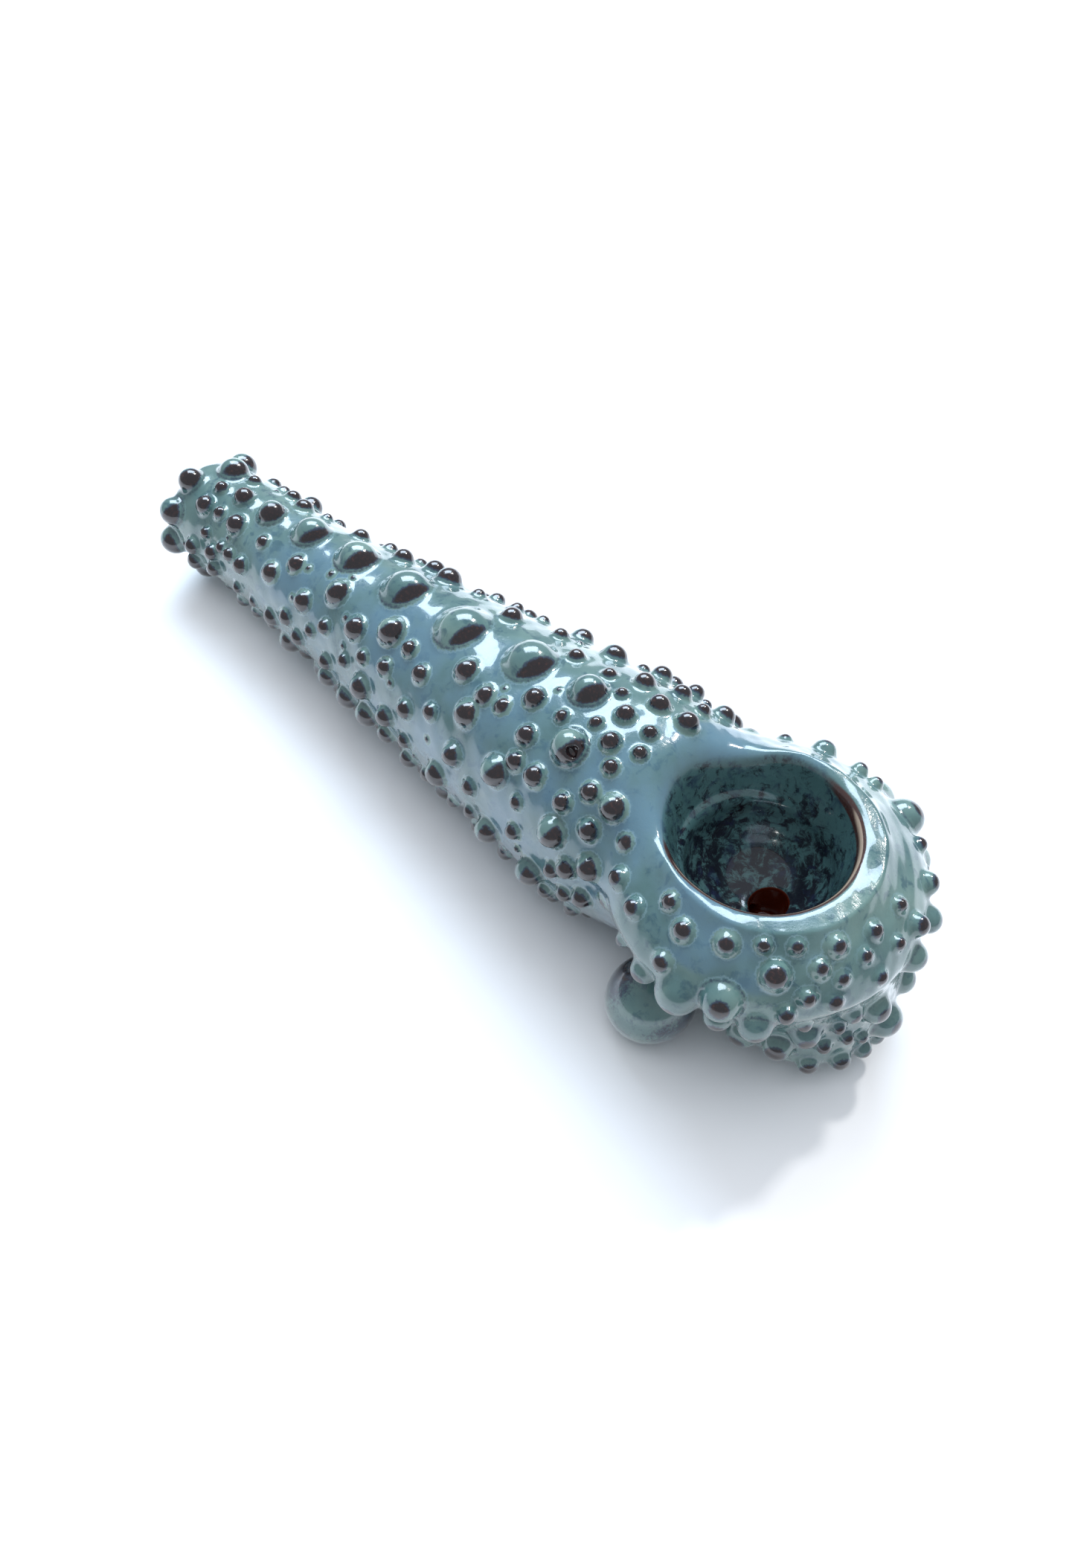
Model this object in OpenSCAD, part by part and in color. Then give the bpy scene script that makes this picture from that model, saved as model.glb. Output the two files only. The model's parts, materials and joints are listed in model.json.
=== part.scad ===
// Ceramic hand pipe covered in clay beads.
// A pinched bowl and a tapered tube are luted together, stood on two ball feet,
// and dressed with separate clay beads. The whole pipe is glazed and fired.
// +X points from the mouth end to the nose of the bowl, -Y is the near side, +Z is up.
// The origin is the middle of the footprint, on the table.

/* [Overall] */
// Bare clay length from the middle of the bowl to the mouth end
stem_len = 103.5; // [86:0.5:124.5]
// Height of the rim above the table
rim_h = 28.5; // [26:0.5:34]

/* [Head] */
// Bare outer diameter of the head at its belly
head_d = 37.6; // [34:0.2:45.2]
// Outer diameter of the smooth collar round the rim
collar_d = 27; // [25.5:0.5:30]
// Diameter of the chin, the lobe under the nose
chin_d = 21; // [18:0.5:25]
// How far the middle of the chin stands ahead of the middle of the bowl
chin_reach = 10; // [8:0.5:12]
// Inside diameter of the bowl at the rim
bowl_d = 21; // [17.4:0.2:22]
// Depth of the bowl
bowl_depth = 15; // [12.5:0.5:16.5]
// How far the rim is drawn out towards the stem
rim_draw = 1.6; // [0:0.2:2.4]
// Diameter of the draft hole in the floor of the bowl
draft_d = 4.6; // [3.4:0.2:5.6]
// How far the draft hole was pierced off the middle, towards the nose
draft_ahead = 1.8; // [0:0.2:2]
// How far it was pierced off the middle, towards the far side
draft_aside = 1; // [0:0.2:1.2]

/* [Stem] */
// Bare diameter at the mouth end
mouth_d = 15; // [12.4:0.2:18]
// Bare diameter a quarter of the way along
neck_d = 17; // [14:0.2:20.4]
// Bare diameter past the middle
middle_d = 24.2; // [20:0.2:26.4]
// Bare diameter at the shoulder, where the stem meets the head
shoulder_d = 30.4; // [27:0.2:31]
// Diameter of the airway
airway_d = 4.5; // [3.6:0.1:5.4]
// Height of the airway above the table
airway_h = 9; // [8.4:0.1:9.4]

/* [Feet] */
// Diameter of each ball foot
foot_d = 11.2; // [9.4:0.2:13.4]
// Distance between the middles of the two feet
foot_span = 29; // [26:0.5:33]
// Depth of the flat wiped on the bottom of each foot
foot_flat = 0.15; // [0.1:0.05:0.3]

/* [Beads] */
// Diameter of the beads in the ring round the mouth end
ring_bead_d = 4.3; // [3.6:0.1:5]
// Number of beads in that ring
ring_beads = 9; // [7:1:9]
// Least diameter of the scattered beads
small_bead_d = 1.9; // [1.6:0.1:2.3]
// Greatest diameter of the scattered beads
large_bead_d = 3.7; // [3:0.1:4.2]
// Distance between neighbours among the scattered beads
bead_pitch = 5; // [4.6:0.1:6]
// Least gap between two beads
bead_gap = 0.25; // [0.15:0.05:0.5]
// Share of a bead's radius by which its middle stands off the clay
bead_lift = 0.15; // [0:0.05:0.3]

/* [Hidden] */
$fn = 48;

eps = 0.01;
seed = 7;
// A bead's round cap gives way to a straight skirt above its middle, and above the clay that it stands on,
// by these shares of its radius
skirt_share = 0.24;
skirt_clear = 0.12;

// Crown outline, from the underside to the rim, as [radius, height]
base_h = 1.6;
belly_r = head_d / 2;
collar_r = collar_d / 2;
chin_r = chin_d / 2;
head_x = 1.5;
lip = 0.9;
crown_outline = [
    [belly_r * 0.4, base_h],
    [belly_r * 0.54, rim_h * 0.18],
    [belly_r * 0.73, rim_h * 0.36],
    [belly_r * 0.9, rim_h * 0.55],
    [belly_r, rim_h * 0.7],
    [belly_r, rim_h * 0.76],
    [(belly_r + collar_r) / 2 + 0.6, rim_h * 0.87],
    [collar_r + 0.7, rim_h - 2 * lip],
    [collar_r - lip, rim_h]
];
// Chin outline, likewise
chin_outline = [
    [chin_r - 3.2, base_h],
    [chin_r - 0.9, base_h + 1.4],
    [chin_r, base_h + 4],
    [chin_r, rim_h * 0.4],
    [chin_r - 1, rim_h * 0.58],
    [chin_r - 3, rim_h * 0.7]
];

// Stem outline, from the mouth end to inside the head, as [station, radius]
mouth_round = 1.6;
stem_outline = [
    [-stem_len, mouth_d / 2 - mouth_round],
    [-stem_len + mouth_round * 0.4, mouth_d / 2 - mouth_round * 0.35],
    [-stem_len + mouth_round * 1.4, mouth_d / 2],
    [-stem_len * 0.73, neck_d / 2],
    [-stem_len * 0.44, middle_d / 2],
    [-belly_r - 2, shoulder_d / 2],
    [-belly_r + 5, shoulder_d / 2 - 0.6],
    [-5, shoulder_d / 2 - 2.5]
];

// The stem's middle line runs straight up from the mouth end to the head,
// so that one bead of the ring round the mouth end rests on the table
ring_back_x = -stem_len + 5.4;
ring_front_x = -stem_len + 2;
rest_h = stem_r(ring_back_x) + ring_bead_d / 2 * (1 + sunk(ring_bead_d));
shoulder_h = shoulder_d / 2 + 1.7;
mouth_h = shoulder_h - (shoulder_h - rest_h) * stem_len / -ring_back_x;
stem_tilt = atan((shoulder_h - mouth_h) / stem_len);
cavity_x = 0.5;
airway_end = cavity_x + draft_ahead + draft_d / 2;
floor_h = rim_h - bowl_depth;
foot_h = foot_d / 2 - foot_flat;
foot_x = -2;

// Straight-line reading of a table of [place, value] pairs, and its slope
function between(a, b, x) = a[1] + (b[1] - a[1]) * (x - a[0]) / (b[0] - a[0]);
function reading(table, x, i = 0) =
    x <= table[0][0] ? table[0][1]
    : i >= len(table) - 1 ? table[len(table) - 1][1]
    : x <= table[i + 1][0] ? between(table[i], table[i + 1], x)
    : reading(table, x, i + 1);
function slope(table, x, reach = 0.5) =
    (reading(table, x + reach) - reading(table, x - reach)) / (2 * reach);
crown_by_height = [for (p = crown_outline) [p[1], p[0]]];
chin_by_height = [for (p = chin_outline) [p[1], p[0]]];
function stem_r(x) = reading(stem_outline, x);
function crown_r(z) = reading(crown_by_height, z);
function chin_r_at(z) = reading(chin_by_height, z);
stem_rise = (shoulder_h - mouth_h) / stem_len;
function axis_h(x) = shoulder_h + stem_rise * x;

// A bead is [middle, radius, place, turn, group, facing]; its place is a station or a height,
// and its facing is the direction in which it stands off the clay.
// On the stem, turn is 0 on top, 90 on the near side, -90 on the far side and 180 underneath.
function on_stem(x, turn, d, group) =
    let (
        out = stem_r(x) + d / 2 * sunk(d),
        leaning = slope(stem_outline, x) + stem_rise * cos(turn)
    )
    [
        [x, -out * sin(turn), axis_h(x) + out * cos(turn)],
        d / 2, x, turn, group, [-leaning, -sin(turn), cos(turn)]
    ];
// Round the crown and the chin, turn is 0 at the nose, 90 on the near side and -90 on the far side.
function on_head(middle_x, table, turn, z, d, group) =
    let (out = reading(table, z) + d / 2 * sunk(d))
    [
        [middle_x + out * cos(turn), -out * sin(turn), z],
        d / 2, z, turn, group, [cos(turn), -sin(turn), -slope(table, z)]
    ];
function on_crown(turn, z, d, group) = on_head(head_x, crown_by_height, turn, z, d, group);
function on_chin(turn, z, d, group) = on_head(chin_reach, chin_by_height, turn, z, d, group);
// Large beads are pressed deeper into the clay than small ones
function sunk(d) = bead_lift - 0.12 * max(0, d - 3);

// How far a point stands out of the crown, the chin and the stem, whichever is least
function out_of(p, middle, r) = norm([p[0] - middle, p[1]]) - r;
function exposure(p) = min(
    out_of(p, head_x, crown_r(p[2])),
    p[2] < rim_h * 0.7 ? out_of(p, chin_reach, chin_r_at(p[2])) : belly_r,
    p[0] < -5 ? norm([p[1], p[2] - axis_h(p[0])]) - stem_r(p[0]) : belly_r
);
// True where a scattered bead is off the table and off the smooth collar, and isn't swallowed by clay
function fits(bead) =
    bead[0][2] - bead[1] > 0.3
    && norm([bead[0][0] - head_x, bead[0][1]]) > collar_r + 3
    && exposure(bead[0]) > bead[1] * (sunk(2 * bead[1]) - 0.3);

// Beads are laid in order, and each is kept where it clears those already laid
function apart(a, b) = norm(a[0] - b[0]) - a[1] - b[1];
function clear_of(bead, others) = len([for (o = others) if (apart(bead, o) < bead_gap) 1]) == 0;
function laid(beads, i = 0, kept = []) =
    i >= len(beads) ? kept : laid(beads, i + 1, clear_of(beads[i], kept) ? concat(kept, [beads[i]]) : kept);
function sum_to(list, i) = i <= 0 ? 0 : list[i - 1] + sum_to(list, i - 1);

foot_facing = [-0.2, 0.8, -0.55];
feet = [
    for (side = [-1, 1])
        [
            [foot_x, side * foot_span / 2, foot_h],
            foot_d / 2, 0, 0, "foot", [foot_facing[0], side * foot_facing[1], foot_facing[2]]
        ]
];

// Graded row along the top: it swells past the middle and dwindles towards the bowl
spine_d = [2, 2.9, 4, 5.3, 6.1, 7, 7.6, 6.9, 4.6, 2.4, 1.8];
spine_turn = [8, 3, 2, -4, -6, -3, 2, 0, -1, 0, 0];
spine_pitch = [for (i = [0:len(spine_d) - 2]) 0.75 * (spine_d[i] + spine_d[i + 1]) + 0.8];
spine_from = -stem_len + 7.3;
spine_to = -belly_r + 1.5;
spine_stretch = (spine_to - spine_from) / sum_to(spine_pitch, len(spine_pitch));
spine = [
    for (i = [0:len(spine_d) - 1])
        on_stem(spine_from + spine_stretch * sum_to(spine_pitch, i), spine_turn[i], spine_d[i], "spine")
];
crater = on_stem(-23.6, 27, 4.6, "crater");

// Ring round the mouth end, with one bead straight below to rest on
mouth_ring = [
    for (i = [0:ring_beads - 1])
        on_stem(
            i % 4 == 0 ? ring_back_x : ring_front_x,
            180 + i * 360 / ring_beads,
            i % 3 == 2 ? ring_bead_d - 0.5 : ring_bead_d,
            "ring"
        )
];
// Single beads towards the mouth, as [distance from the mouth end, turn, diameter]
mouth_places = [
    [10.3, 31, 1.8], [14.2, 31, 2.9], [20, 30, 1.8], [27.3, 29, 2.6], [36.4, 29, 3.5], [47.8, 30, 3.8],
    [24.2, 49, 2.8], [31.8, 52, 2.8], [42.4, 43, 3.2], [49.9, 52, 2.2], [45.7, 57, 1.9],
    [9.7, 57, 1.6], [13.5, 60, 1.6], [18.3, 62, 2.4], [37.2, 58, 2], [42.5, 70, 1.8], [34.7, 71, 1.6],
    [7.4, 82, 2.4], [12.4, 90, 2.4], [17.9, 91, 1.6], [21.6, 93, 1.6], [26, 91, 2.7], [32.2, 88, 2.3],
    [38.8, 86, 2.2], [9.4, -24, 2], [12.5, -47, 1.8], [18.9, -31, 2.6], [22.3, -42, 1.6], [45.9, -37, 3.8]
];
// Single beads towards the bowl, as [distance from the middle of the bowl, turn, diameter]
shoulder_places = [
    [16.3, 11, 1.8], [23.1, 11, 1.6], [19.9, 15, 2.4], [31.8, 17, 2.7], [27.2, 17, 1.6], [17.8, 24, 1.9],
    [42.3, 24, 3.1], [34.7, 29, 2.1], [29.4, 34, 2.5], [14.6, 38, 3.1], [18, 38, 2.3], [38.5, 43, 3.3],
    [47.9, 41, 2.4], [11, 48, 2], [20.3, 49, 2.3], [25.3, 47, 2.7], [15.7, 53, 2.6], [43.7, 56, 2],
    [30.7, 58, 3.8], [26, 64, 1.6], [19.7, 64, 3.7], [13.6, 69, 3.2], [33.8, 78, 2.1],
    [25.2, 80, 2.1], [18.3, 84, 2.1], [40, 90, 3.4], [13.7, 91, 2.5], [29.8, 97, 3.6], [21.9, 99, 3.8],
    [23.9, -10, 1.6], [19.4, -16, 2.7], [27.5, -18, 1.9], [32.9, -19, 2.2], [23.5, -25, 2.8],
    [44.9, -26, 2.9], [30.8, -41, 3.4], [15.4, -70, 3.3]
];
// Single beads round the crown, as [turn, height below the rim, diameter]
crown_places = [
    [113, 4.2, 2.3], [104, 1.6, 2], [91, 2.4, 2.4], [72, 1.6, 2.6], [56, 1, 1.6], [41, 1, 1.6],
    [23, 1.6, 2.5], [3, 2.2, 2], [50, 3, 3.2], [32, 2.8, 2], [91, 5.6, 2.4], [38, 5, 2.2],
    [24, 4, 1.6], [12, 3.2, 1.6],
    [45, 6.6, 2.2], [28, 6, 2], [9, 5.8, 1.8], [-16, 2.6, 1.7], [-4, 4.4, 1.6], [-17, 5.4, 2.6],
    [-12, 9.4, 4], [-27, 8.4, 3.4], [-36, 5.6, 2.8], [-52, 5.2, 2], [-82, 4.4, 1.8]
];
// Larger lobes on the near flank, over the foot, and the same on the far flank
lobe_places = [[83, 9, 5.4], [67, 6.4, 4.8], [54, 9.6, 4.4]];
// Beads round the chin, as [turn, height, diameter]
chin_places = [
    [96, 6.4, 4.4], [71, 8.4, 3.9], [57, 12.6, 3.9], [28, 15.6, 2.4], [36, 13.4, 1.6], [43, 9.8, 1.8],
    [29, 11, 1.6], [17, 9.6, 1.6], [49, 5.2, 2.6], [28, 5.4, 2.6], [10, 5, 2.4], [9, 14.4, 3.6],
    [-5, 9, 4.6], [-30, 11.5, 3.8], [-52, 6.6, 3.8], [-72, 8.6, 4], [-100, 6, 4.4]
];
chosen = concat(
    feet, spine, [crater], mouth_ring,
    [for (p = shoulder_places) on_stem(-p[0], p[1], p[2], "stem")],
    [for (p = mouth_places) on_stem(-stem_len + p[0], p[1], p[2], "stem")],
    [for (p = lobe_places) on_crown(p[0], rim_h - p[1], p[2], "near_lobe")],
    [for (p = lobe_places) on_crown(-p[0], rim_h - p[1], p[2], "far_lobe")],
    [for (p = crown_places) on_crown(p[0], rim_h - p[1], p[2], "crown")],
    [for (p = chin_places) on_chin(p[0], p[1], p[2], "chin")]
);

// Scattered beads: staggered rings with a seeded jitter
function jitter(n, key) = rands(-1, 1, n, seed + key);
function ring_of(i, count) =
    let (
        side = jitter(count, i),
        along = jitter(count, i + 100),
        size = rands(0, 1, count, seed + i + 200),
        start = (i % 2) * 180 / count + 7 * i
    )
    [
        for (j = [0:count - 1])
            [
                along[j] * 0.6,
                (start + (j + side[j] * 0.11) * 360 / count) % 360 - 180,
                small_bead_d + (large_bead_d - small_bead_d) * pow(size[j], 1.4)
            ]
    ];
function ring_count(r) = floor(2 * PI * (r + 1) / bead_pitch);
function rings_between(low, high) =
    let (count = floor((high - low) / (bead_pitch * 0.87)))
    [for (i = [0:count]) low + i * (high - low) / count];
stem_rings = rings_between(-stem_len + 7, -belly_r + 3);
crown_rings = rings_between(7, rim_h * 0.82);
chin_rings = rings_between(4, rim_h * 0.6);
scattered = [
    for (bead = concat(
        [for (i = [0:len(stem_rings) - 1], b = ring_of(i, ring_count(stem_r(stem_rings[i]))))
            on_stem(stem_rings[i] + b[0], b[1], b[2], "stem")],
        [for (i = [0:len(crown_rings) - 1], b = ring_of(i + 40, ring_count(crown_r(crown_rings[i]))))
            on_crown(b[1], crown_rings[i] + b[0], b[2], "crown")],
        [for (i = [0:len(chin_rings) - 1], b = ring_of(i + 60, ring_count(chin_r_at(chin_rings[i]))))
            on_chin(b[1], chin_rings[i] + b[0], b[2], "chin")]
    ))
        if (fits(bead)) bead
];
all_beads = laid(concat(chosen, scattered));

// Groups of beads, each a node: by name, by [least, most] turn, and on the stem by station too
function group(name) = [for (b = all_beads) if (b[4] == name) b];
function turn_part(name, turns) = [for (b = group(name)) if (b[3] >= turns[0] && b[3] < turns[1]) b];
function stem_part(turns, stations) =
    [for (b = turn_part("stem", turns)) if (b[2] >= stations[0] && b[2] < stations[1]) b];
top = [-42, 42];
near = [42, 126];
far = [-126, -42];
under_near = [126, 181];
under_far = [-181, -126];
front = [-40, 40];
near_side = [40, 181];
far_side = [-181, -40];
mouth_third = [-stem_len, -stem_len * 0.68];
middle_third = [-stem_len * 0.68, -stem_len * 0.4];
shoulder_third = [-stem_len * 0.4, 0];

glaze = "#5d7f80";
glaze_break = "#33262c";
glaze_foot = "#4f6f72";
glaze_spine = "#64868a";

module turned(outline) {
    rotate_extrude()
        polygon(concat([[0, outline[0][1]]], outline, [[0, outline[len(outline) - 1][1]]]));
}

module head_outer() {
    translate([head_x, 0, 0])
        turned(crown_outline);
    translate([chin_reach, 0, 0])
        turned(chin_outline);
}

// The head, with room above it for the opening of the bowl
module head_cope() {
    head_outer();
    translate([head_x, 0, rim_h - eps])
        cylinder(r = collar_r - lip, h = rim_h / 2);
}

module stem_outer() {
    translate([0, 0, shoulder_h])
        rotate([0, -stem_tilt, 0])
            rotate([0, 90, 0])
                turned([for (p = stem_outline) [p[1], p[0]]]);
}

module bowl_cavity() {
    wall_r = bowl_d / 2;
    waist_r = wall_r - 1.6;
    lip_h = 5;
    translate([cavity_x, 0, floor_h + waist_r])
        sphere(r = waist_r);
    translate([cavity_x, 0, floor_h + waist_r])
        cylinder(r1 = waist_r, r2 = wall_r, h = bowl_depth - waist_r + eps);
    // Softer lip on the stem side
    translate([cavity_x - rim_draw, 0, rim_h - lip_h])
        cylinder(r1 = wall_r - 2.2, r2 = wall_r + 0.3, h = lip_h + eps);
}

module airway() {
    translate([-stem_len * 1.2, 0, airway_h])
        rotate([0, 90, 0])
            cylinder(d = airway_d, h = stem_len * 1.2 + airway_end);
}

module bowl() {
    color(glaze)
        difference() {
            head_outer();
            bowl_cavity();
            translate([cavity_x + draft_ahead, draft_aside, airway_h])
                cylinder(d = draft_d, h = bowl_depth);
            airway();
        }
}

module stem() {
    color(glaze)
        difference() {
            stem_outer();
            head_cope();
            airway();
        }
}

// A ball that turns into a straight skirt at a height above its middle, and runs down by a depth
module dome(r, skirt_h, depth) {
    skirt_r = sqrt(r * r - skirt_h * skirt_h);
    rotate_extrude()
        difference() {
            translate([0, -depth])
                square([skirt_r, depth + 2 * r]);
            difference() {
                translate([-r, skirt_h])
                    square(3 * r);
                circle(r = r);
            }
        }
}

// Places a child so that its +Z is a bead's facing, and the seam of its round runs across the slope
module at_bead(b) {
    seam_turn = 90;
    translate(b[0])
        rotate([0, acos(b[5][2] / norm(b[5])), atan2(b[5][1], b[5][0])])
            rotate([0, 0, seam_turn])
                children();
}

// A ball foot on a short neck, coped to the clay above it and wiped flat underneath
module foot(b) {
    r = b[1];
    neck_share = -0.5;
    color(glaze_foot)
        difference() {
            at_bead(b)
                dome(r, neck_share * r, r * 1.1);
            head_outer();
            stem_outer();
            translate([b[0][0] - foot_d, b[0][1] - foot_d, -foot_d])
                cube([2 * foot_d, 2 * foot_d, foot_d]);
        }
}

// Beads as separate domes, each coped to the clay that it sits on
module beads(list) {
    difference() {
        for (b = list) {
            r = b[1];
            lift = r * sunk(2 * r);
            at_bead(b)
                dome(r, max(skirt_share * r, skirt_clear * r - lift), lift + r * 0.6 + 0.5);
        }
        head_outer();
        stem_outer();
        airway();
    }
}

module dark_beads(list) {
    color(glaze_break)
        beads(list);
}

module spine_beads() {
    color(glaze_spine)
        beads(group("spine"));
}

module cratered_bead() {
    color(glaze_spine)
        difference() {
            beads([crater]);
            translate(crater[0] + [crater[1] * 0.9, -crater[1] * 0.7, crater[1] * 0.6])
                sphere(d = 2);
        }
}

// Moves the middle of the footprint onto the origin
low_x = min([for (b = all_beads) b[0][0] - b[1]]);
high_x = max([for (b = all_beads) b[0][0] + b[1]]);
low_y = min([for (b = all_beads) b[0][1] - b[1]]);
high_y = max([for (b = all_beads) b[0][1] + b[1]]);
module centred() {
    translate([-(low_x + high_x) / 2, -(low_y + high_y) / 2, 0])
        children();
}

centred() bowl();
centred() stem();
centred() foot(feet[0]);  // near_foot
centred() foot(feet[1]);  // far_foot
centred() spine_beads();
centred() cratered_bead();
centred() dark_beads(group("ring"));  // mouth_ring_beads
centred() dark_beads(group("near_lobe"));  // near_lobes
centred() dark_beads(group("far_lobe"));  // far_lobes
centred() dark_beads(stem_part(top, mouth_third));  // top_mouth_beads
centred() dark_beads(stem_part(top, middle_third));  // top_middle_beads
centred() dark_beads(stem_part(top, shoulder_third));  // top_shoulder_beads
centred() dark_beads(stem_part(near, mouth_third));  // near_mouth_beads
centred() dark_beads(stem_part(near, middle_third));  // near_middle_beads
centred() dark_beads(stem_part(near, shoulder_third));  // near_shoulder_beads
centred() dark_beads(stem_part(far, mouth_third));  // far_mouth_beads
centred() dark_beads(stem_part(far, middle_third));  // far_middle_beads
centred() dark_beads(stem_part(far, shoulder_third));  // far_shoulder_beads
centred() dark_beads(turn_part("stem", under_near));  // under_near_beads
centred() dark_beads(turn_part("stem", under_far));  // under_far_beads
centred() dark_beads(turn_part("crown", near_side));  // crown_near_beads
centred() dark_beads(turn_part("crown", front));  // crown_front_beads
centred() dark_beads(turn_part("crown", far_side));  // crown_far_beads
centred() dark_beads(turn_part("chin", near_side));  // chin_near_beads
centred() dark_beads(turn_part("chin", front));  // chin_front_beads
centred() dark_beads(turn_part("chin", far_side));  // chin_far_beads
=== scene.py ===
"""Looks of the glazed ceramic hand pipe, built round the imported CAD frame.

One glaze flows over the clay and over every bead, so the skin is worked out as a single field of
distances on a grid, with a soft fillet where a bead meets the clay. The skin is then cut into one
piece for each CAD node. Sizes are in millimetres up to the point where a mesh is made.
"""

import json
import math

import bpy
import numpy as np
from mathutils import Matrix, Vector


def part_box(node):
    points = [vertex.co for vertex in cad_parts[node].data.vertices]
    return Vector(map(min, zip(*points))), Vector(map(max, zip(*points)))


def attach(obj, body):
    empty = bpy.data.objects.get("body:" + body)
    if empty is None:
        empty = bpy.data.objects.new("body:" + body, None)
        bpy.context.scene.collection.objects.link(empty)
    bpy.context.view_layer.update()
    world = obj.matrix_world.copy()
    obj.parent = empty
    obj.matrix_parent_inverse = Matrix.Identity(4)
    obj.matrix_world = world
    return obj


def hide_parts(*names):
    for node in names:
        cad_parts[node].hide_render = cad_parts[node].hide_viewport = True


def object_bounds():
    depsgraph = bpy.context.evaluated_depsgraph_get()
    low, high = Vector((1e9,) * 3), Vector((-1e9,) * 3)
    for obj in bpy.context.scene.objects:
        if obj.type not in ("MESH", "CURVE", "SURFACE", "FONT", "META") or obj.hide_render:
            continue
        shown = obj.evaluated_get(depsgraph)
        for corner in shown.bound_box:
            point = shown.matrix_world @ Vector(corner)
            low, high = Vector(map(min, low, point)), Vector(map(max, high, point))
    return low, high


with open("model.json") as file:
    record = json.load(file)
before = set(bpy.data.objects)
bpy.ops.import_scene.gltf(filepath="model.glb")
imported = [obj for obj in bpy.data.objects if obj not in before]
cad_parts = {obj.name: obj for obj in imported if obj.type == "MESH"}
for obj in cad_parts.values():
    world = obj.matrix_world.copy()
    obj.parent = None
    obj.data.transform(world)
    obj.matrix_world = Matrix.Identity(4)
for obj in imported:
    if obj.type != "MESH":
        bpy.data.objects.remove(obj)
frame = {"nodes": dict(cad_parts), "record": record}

MM = 0.001
STEP = 0.24
NODES = frame["nodes"]


def corners(box):
    """The two corners of a box as plain lists."""
    return [[float(v) for v in corner] for corner in box]


cad_box = corners(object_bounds())

# Sizes of the bare clay, as in the CAD model
RIM_H = 28.5
BELLY_R = 18.8
COLLAR_R = 13.5
CHIN_R = 10.5
LIP = 0.9
BASE_H = 1.6
STEM_LEN = 103.5
SHOULDER_H = 16.9
MOUTH_H = 9.37
CAVITY_R = 10.5
CAVITY_DEPTH = 15.0
WAIST_R = 8.9
DRAFT_R = 2.3
AIRWAY_R = 2.25
AIRWAY_H = 9.0

bowl_low, bowl_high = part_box("bowl")
HEAD_X = bowl_low.x / MM + BELLY_R
BOWL_X = HEAD_X - 1.5
CHIN_X = BOWL_X + 10
CAVITY_X = BOWL_X + 0.5
LIP_X = CAVITY_X - 1.6
DRAFT_X = CAVITY_X + 1.8
DRAFT_Y = 1.0

CROWN = [
    (BELLY_R * 0.4, BASE_H),
    (BELLY_R * 0.54, RIM_H * 0.18),
    (BELLY_R * 0.73, RIM_H * 0.36),
    (BELLY_R * 0.9, RIM_H * 0.55),
    (BELLY_R, RIM_H * 0.7),
    (BELLY_R, RIM_H * 0.76),
    (BELLY_R * 0.5 + COLLAR_R * 0.5 + 0.6, RIM_H * 0.87),
    (COLLAR_R + 0.7, RIM_H - 2 * LIP),
    (COLLAR_R - LIP, RIM_H + 0.1),
]
CHIN = [
    (CHIN_R - 3.2, BASE_H),
    (CHIN_R - 0.9, BASE_H + 1.4),
    (CHIN_R, BASE_H + 4),
    (CHIN_R, RIM_H * 0.4),
    (CHIN_R - 1, RIM_H * 0.58),
    (CHIN_R - 3, RIM_H * 0.7),
]
STEM = [
    (5.9, -STEM_LEN),
    (6.94, -STEM_LEN + 0.64),
    (7.5, -STEM_LEN + 2.24),
    (8.5, -STEM_LEN * 0.73),
    (12.1, -STEM_LEN * 0.44),
    (15.2, -BELLY_R - 2),
    (14.6, -BELLY_R + 5),
    (12.7, -5),
]
FLOOR_H = RIM_H - CAVITY_DEPTH
CAVITY = [
    (WAIST_R * math.sin(a), FLOOR_H + WAIST_R * (1 - math.cos(a)))
    for a in np.linspace(0.15, math.pi / 2, 6)
] + [(CAVITY_R, RIM_H), (CAVITY_R + 0.6, RIM_H + 6)]
SOFT_LIP = [(8.3, RIM_H - 5), (10.8, RIM_H), (12, RIM_H + 6)]


# --- Fields of distances ---


def softened(outline, rounds=3):
    """An outline with its corners cut again and again, so that it curves."""
    points = np.array(outline, float)
    for _ in range(rounds):
        a, b = points[:-1], points[1:]
        middle = np.stack([0.75 * a + 0.25 * b, 0.25 * a + 0.75 * b], 1).reshape(-1, 2)
        points = np.vstack([points[:1], middle, points[-1:]])
    return points


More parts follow.
